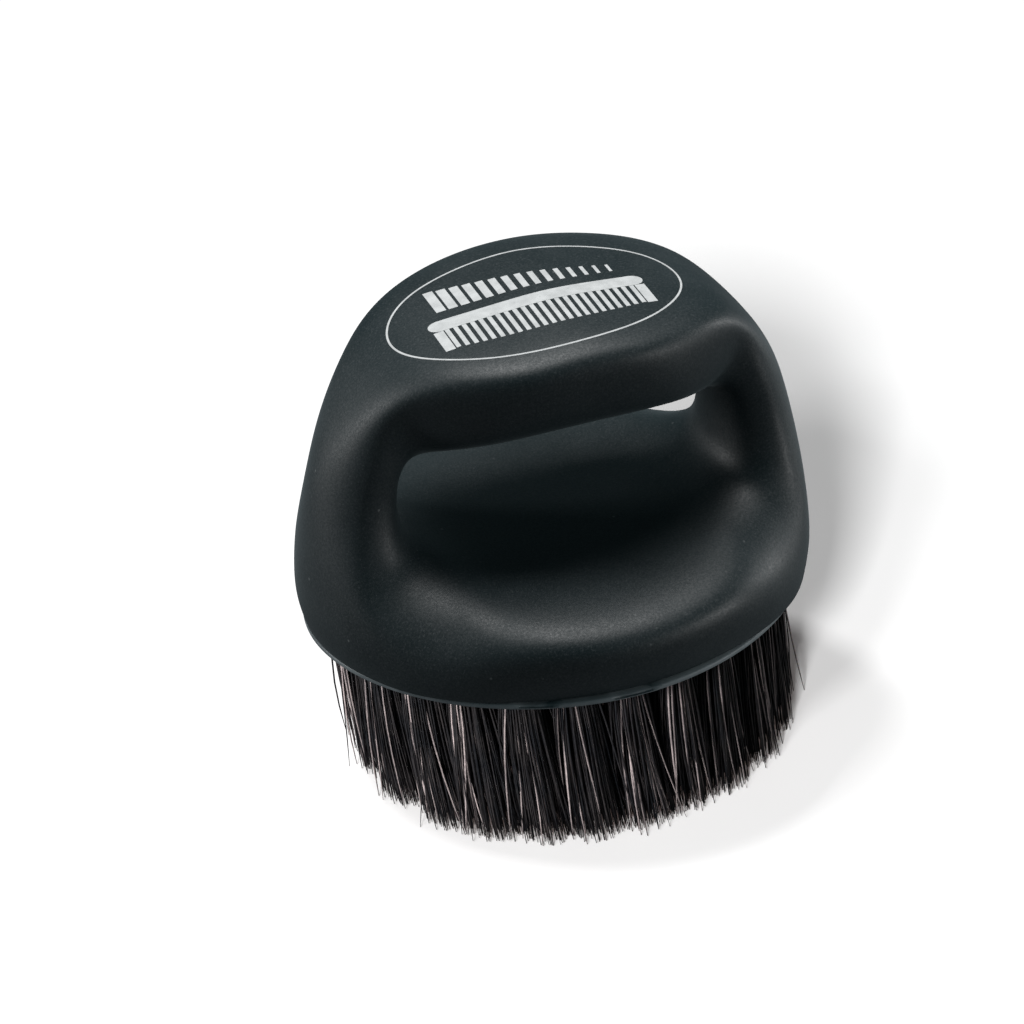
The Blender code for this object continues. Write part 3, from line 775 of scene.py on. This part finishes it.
def build_tuft(index, node, centre, mat):
    """one bundle of hairs; the order of the random draws sets its look"""
    kind = node.split("_")[1]
    outer = kind == "outer"
    rng = np.random.default_rng(FIRST_SEED + index)
    n = HAIRS[kind]

    def scatter(spread, rows=n):
        return rng.normal(0, spread, (rows, 2))

    # roots on a sunflower spiral, each a little off its place
    q = np.arange(n) + 0.5
    distance = PACK_R * np.sqrt(q / n)
    turn = q * PACK_TURN + index
    offset = np.stack([distance * np.cos(turn), distance * np.sin(turn)], 1) + scatter(0.12)
    size = np.maximum(np.linalg.norm(offset, axis=1), 1e-6)
    offset *= np.minimum(1, PACK_LIMIT / size)[:, None]

    # outward direction from the brush's middle, and the direction along the ring
    out = np.array([centre[0] / RINGS[0][1], centre[1] / RINGS[0][2]])
    out = out / max(np.linalg.norm(out), 1e-6) if kind != "centre" else np.zeros(2)
    tangent = np.array([-out[1], out[0]])
    ringwise = np.outer(offset @ tangent, tangent)

    spread = offset * SPREAD
    flare = np.zeros(2)
    if outer:
        spread = spread + ringwise * WALL_SPREAD
        flare = np.array([FLARE[0] * out[0], FLARE[1] * out[1]])
        if out[0] < 0 and out[1] < 0:
            flare -= SPLAY * out[0] * out[1] * np.array(SPLAY_SHARE)
    tuft_shift = rng.normal(0, 0.25, 2)
    tip_xy = offset + spread + flare + tuft_shift + scatter(0.40)
    tip_xy += np.outer(rng.normal(1.0, 0.10, n), LEAN)
    stray = rng.random(n) < STRAY_SHARE
    tip_xy[stray] += scatter(1.1, stray.sum())

    # tip heights: trimmed nearly level, a few hairs short
    tip_z = np.abs(rng.normal(0, 0.28, n)) + 0.03 + rng.uniform(0, 0.18)
    short = rng.random(n) < SHORT_SHARE
    tip_z[short] += rng.uniform(0.4, 3.0, short.sum())

    # bend is one bow along the hair, sway an S
    bend = np.column_stack([scatter(0.26), np.zeros(n)])
    bend[stray] *= 2.2
    bend[:, :2] += out * 0.25 + ringwise * 0.20 if outer else offset * 0.15
    sway = np.column_stack([scatter(0.10), np.zeros(n)])
    radius = np.clip(rng.normal(0.145, 0.020, n), 0.09, 0.20)

    # tone: 0 black, 1 pale
    tone = rng.uniform(0, 0.05, n)
    middling = rng.random(n) < MID_SHARE
    tone[middling] = rng.uniform(0.12, 0.45, middling.sum())
    light = rng.random(n) < LIGHT_SHARE
    if outer:                               # a few pale hairs lie on the wall's outer face
        facing = (offset @ out > FACE_FROM) & (rng.random(n) < FACE_SHARE)
        light |= facing
        tip_xy[facing] += np.outer(rng.normal(0, 1.2, facing.sum()), tangent) + out * 0.25
        radius[facing] *= 1.06
    tone[light] = rng.uniform(0.5, 1.0, light.sum())

    root = np.column_stack([centre[0] + offset[:, 0], centre[1] + offset[:, 1],
                            np.full(n, LIP_Z + ROOT_Z)])
    tip = np.column_stack([centre[0] + tip_xy[:, 0], centre[1] + tip_xy[:, 1], tip_z])
    reach = np.sqrt((tip[:, 0] / (BASE_HALF_X + TIP_MARGIN[0])) ** 2
                    + (tip[:, 1] / (BASE_HALF_Y + TIP_MARGIN[1])) ** 2)
    tip[:, :2] /= np.maximum(1, reach)[:, None]
    name = node.replace("tuft_", "bristles_")
    ob = hair_object(name, root, tip, sway, bend, radius, tone, mat)
    stand_for(ob, node)


# ---------------------------------------------------------------- print on the thumb pad
# The print is laid out in a level plane at the crown and carried onto the pad along one
# slanting direction, the way a pad printer's stamp meets it.
PRINT_AT = (-2.4, -2.1)      # middle of the print in that plane
OVAL_HALF = (23.6, 14.6)     # half length and half depth of the oval line
OVAL_STEPS = 300
LINE_HALF = 0.16             # half width of the oval line
STAMP_TURN, STAMP_UP = -20.69, 62.0    # direction the stamp comes from (degrees)
STAMP_START = 30             # distance from the plane the rays start at
INK = 0.05                   # ink thickness
INK_SINK = 0.06              # ink's depth below the skin
BAR_STEP = 0.5               # longest step of a bar's grid

COMB_BACK = (-17.6, 17.6, -2.0, 0.9, 1.8)    # u from, u to, v from, v to, nose
TEETH, TEETH_HALF = 25, 16.5           # number of teeth, half length of their row
TOOTH_HALF, END_TOOTH_HALF = 0.36, 0.8       # half widths
TOOTH_TOP = -2.05
BARS, BAR_PITCH, BAR_LOW = 15, 2.0, 3.2


def print_patch(bm, tree, grid, wrap=False):
    """closed thin ink solid over a grid of print-plane points (rows of (u, v) in mm)"""
    away = around(STAMP_TURN, STAMP_UP)
    level = LIP_Z + HANDLE_HEIGHT
    top, low = [], []
    for row in grid:
        top.append([])
        low.append([])
        for u, v in row:
            start = Vector((PRINT_AT[0] + u, PRINT_AT[1] + v, level)) + away * STAMP_START
            hit, normal, _, _ = tree.ray_cast(start * MM, -away)
            if normal.dot(away) < 0:
                normal = -normal
            top[-1].append(bm.verts.new(hit + normal * INK * MM))
            low[-1].append(bm.verts.new(hit - normal * INK_SINK * MM))
    rows, cols = len(grid), len(grid[0])
    for i in range(rows if wrap else rows - 1):
        k = (i + 1) % rows
        for j in range(cols - 1):
            bm.faces.new((top[i][j], top[k][j], top[k][j + 1], top[i][j + 1]))
            bm.faces.new((low[i][j], low[i][j + 1], low[k][j + 1], low[k][j]))
        for j in (0, cols - 1):
            quad = (top[i][j], low[i][j], low[k][j], top[k][j])
            bm.faces.new(quad if j == 0 else quad[::-1])
    if not wrap:
        for i in (0, rows - 1):
            for j in range(cols - 1):
                quad = (top[i][j], top[i][j + 1], low[i][j + 1], low[i][j])
                bm.faces.new(quad if i == 0 else quad[::-1])


def bar(u0, u1, v0, v1, nose=0.0):
    """grid of a straight bar; nose rounds both ends"""
    rows_u = np.linspace(u0, u1, max(2, int((u1 - u0) / BAR_STEP) + 1))
    across = np.linspace(-1, 1, max(2, int((v1 - v0) / BAR_STEP) + 1))
    middle, half = (v0 + v1) / 2, (v1 - v0) / 2
    if nose:
        steps = nose * (1 - np.cos(np.linspace(0, math.pi / 2, 7)))
        rows_u = np.unique(np.concatenate([rows_u, u0 + steps, u1 - steps]))
    grid = []
    for u in rows_u:
        reach = half
        from_end = min(u - u0, u1 - u)
        if nose and from_end < nose:
            reach = half * max(0.12, math.sqrt(max(0.0, 1 - (1 - from_end / nose) ** 2)))
        grid.append([(u, middle + reach * w) for w in across])
    return grid


def oval_line():
    """grid of the oval line, three points across"""
    half_u, half_v = OVAL_HALF
    grid = []
    for i in range(OVAL_STEPS):
        turn = 2 * math.pi * i / OVAL_STEPS
        cosine, sine = math.cos(turn), math.sin(turn)
        normal_u, normal_v = cosine / half_u, sine / half_v
        size = math.hypot(normal_u, normal_v)
        grid.append([(half_u * cosine + normal_u / size * w, half_v * sine + normal_v / size * w)
                     for w in (-LINE_HALF, 0.0, LINE_HALF)])
    return grid


def comb():
    """comb with its teeth towards the user; the row of teeth is longest in the middle"""
    grids = [bar(*COMB_BACK)]
    for i in range(TEETH):
        u = -TEETH_HALF + 2 * TEETH_HALF * i / (TEETH - 1)
        end = i in (0, TEETH - 1)
        half = END_TOOTH_HALF if end else TOOTH_HALF
        depth = 7.6 if end else 8.6 - 0.0052 * u * u
        grids.append(bar(u - half, u + half, -depth, TOOTH_TOP))
    return grids


def fading_bars():
    """row of bars, each thinner and shorter than the one on its left"""
    grids = []
    for i in range(BARS):
        u = BAR_PITCH * i - BAR_PITCH * (BARS - 1) / 2
        half = 0.80 - 0.040 * i
        grids.append(bar(u - half, u + half, BAR_LOW, 9.6 - 0.30 * i))
    return grids


def build_print(mat, skin):
    tree = BVHTree.FromObject(skin, bpy.context.evaluated_depsgraph_get())
    for name, grids, wrap in (("print_oval", [oval_line()], True), ("print_comb", comb(), False),
                              ("print_bars", fading_bars(), False)):
        bm = bmesh.new()
        for grid in grids:
            print_patch(bm, tree, grid, wrap)
        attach(add_mesh(name, bm, mat), BODY)   # the CAD has no finish for ink: no slot


# ---------------------------------------------------------------- studio, in metres
# name, what it lights, turn and height angle (degrees), distance, size, power (W), aimed at
SHADOW_AIM = (0.02, 0.0, 0.02)
LIGHTS = (
    ("soft_top", "lit_brush", 165.0, 82.0, 1.00, (0.60, 0.50), 9.6, (0, 0, 0.06)),
    ("strip_left", "lit_brush", -112.0, 18.0, 0.95, (0.14, 0.60), 4.2, (0, 0, 0.045)),
    ("strip_right", "lit_brush", 97.0, 6.0, 0.95, (0.14, 0.36), 2.6, (0, 0, 0.02)),
    ("fill_right", "lit_brush", 52.0, 6.0, 0.95, (0.14, 0.22), 2.2, (0, 0, 0.015)),
    ("hair_light", "lit_bristles", -68.0, 20.0, 0.9, (0.3, 0.25), 29.0, (0, 0, 0.012)),
    ("shadow_light", "lit_floor", -34.0, 34.0, 3.0, (0.46, 0.46), 87.0, SHADOW_AIM),
    ("shadow_light", "lit_floor", -52.0, 44.0, 3.0, (0.46, 0.46), 30.0, SHADOW_AIM),
    ("shadow_light", "lit_floor", -138.0, 70.0, 3.0, (0.46, 0.46), 29.5, SHADOW_AIM),
)
WORLD_COLOUR, WORLD_STRENGTH = (0.55, 0.92, 1.0, 1), 0.07


def build_floor():
    mat = pale_floor()
    bm = bmesh.new()
    bmesh.ops.create_grid(bm, x_segments=1, y_segments=1, size=6.0)
    ob = add_mesh("floor", bm, mat)
    ob.location.z = -0.00005                # just clear of the tips
    return ob


def area_light(name, at, aim, size, power):
    data = bpy.data.lights.new(name, "AREA")
    data.shape = "RECTANGLE"
    data.size, data.size_y = size
    data.energy = power
    lamp = add_object(name, data)
    lamp.location = at
    lamp.rotation_mode = "QUATERNION"
    lamp.rotation_quaternion = (Vector(aim) - at).to_track_quat("-Z", "Y")
    return lamp


def studio(pieces):
    lit = {"lit_brush": pieces, "lit_floor": [build_floor()],
           "lit_bristles": [ob for ob in pieces if ob.name.startswith("bristles_")]}
    receivers = {}
    for name, members in lit.items():
        receivers[name] = bpy.data.collections.new(name)
        for ob in members:
            receivers[name].objects.link(ob)
    for name, receiver, turn, up, far, size, power, aim in LIGHTS:
        lamp = area_light(name, around(turn, up, far), aim, size, power)
        lamp.light_linking.receiver_collection = receivers[receiver]
    world = bpy.data.worlds.new("studio")
    world.use_nodes = True
    back = world.node_tree.nodes["Background"]
    back.inputs["Color"].default_value = WORLD_COLOUR
    back.inputs["Strength"].default_value = WORLD_STRENGTH
    bpy.context.scene.world = world


# ---------------------------------------------------------------- camera, in millimetres
VIEW_TURN, VIEW_UP, VIEW_ROLL = -20.69, 32.62, 2.03    # to the left, above, and roll (degrees)
VIEW_DISTANCE = 650.0        # from the loop's middle
LOOP_MIDDLE = (0, 0, LIP_Z + 20)
AIM_SHIFT = (-6.056782, -6.088328)     # aim from the loop's middle, to the view's right and up
SENSOR_WIDTH, LENS = 36.0, 144.87890625


def camera():
    turn, roll = math.radians(VIEW_TURN), math.radians(VIEW_ROLL)
    back = around(VIEW_TURN, VIEW_UP)
    right = Vector((math.cos(turn), math.sin(turn), 0))
    up = back.cross(right)
    rolled_right = right * math.cos(roll) - up * math.sin(roll)
    rolled_up = right * math.sin(roll) + up * math.cos(roll)
    target = Vector(LOOP_MIDDLE)
    aim = target + rolled_right * AIM_SHIFT[0] + rolled_up * AIM_SHIFT[1]
    eye = target + back * VIEW_DISTANCE
    look = (eye - aim).normalized()
    cam_right = (rolled_right - look * rolled_right.dot(look)).normalized()
    cam_up = look.cross(cam_right)
    data = bpy.data.cameras.new("camera")
    data.sensor_width = SENSOR_WIDTH
    data.lens = LENS
    data.clip_start, data.clip_end = 0.01, 20
    cam = add_object("camera", data)
    axes = Matrix((cam_right, cam_up, look)).transposed().to_4x4()
    cam.matrix_world = Matrix.Translation(eye * MM) @ axes
    scene = bpy.context.scene
    scene.camera = cam
    scene.view_settings.view_transform = "Standard"
    scene.view_settings.look = "None"


# ---------------------------------------------------------------- build
layout = tuft_layout()
wire_look = drawn_wire()
for node_name, node in frame["nodes"].items():
    if node_name.startswith("wire_"):
        for slot in node.material_slots:
            slot.material = wire_look
skin = build_skin(soft_touch())
build_plate(plate_plastic(), layout)
hair_look = bristle_hair()
for index, (node_name, spot) in enumerate(layout):
    build_tuft(index, node_name, spot, hair_look)
build_print(pad_ink(), skin)
studio([ob for ob in bpy.context.scene.objects if ob.type == "MESH"])
camera()
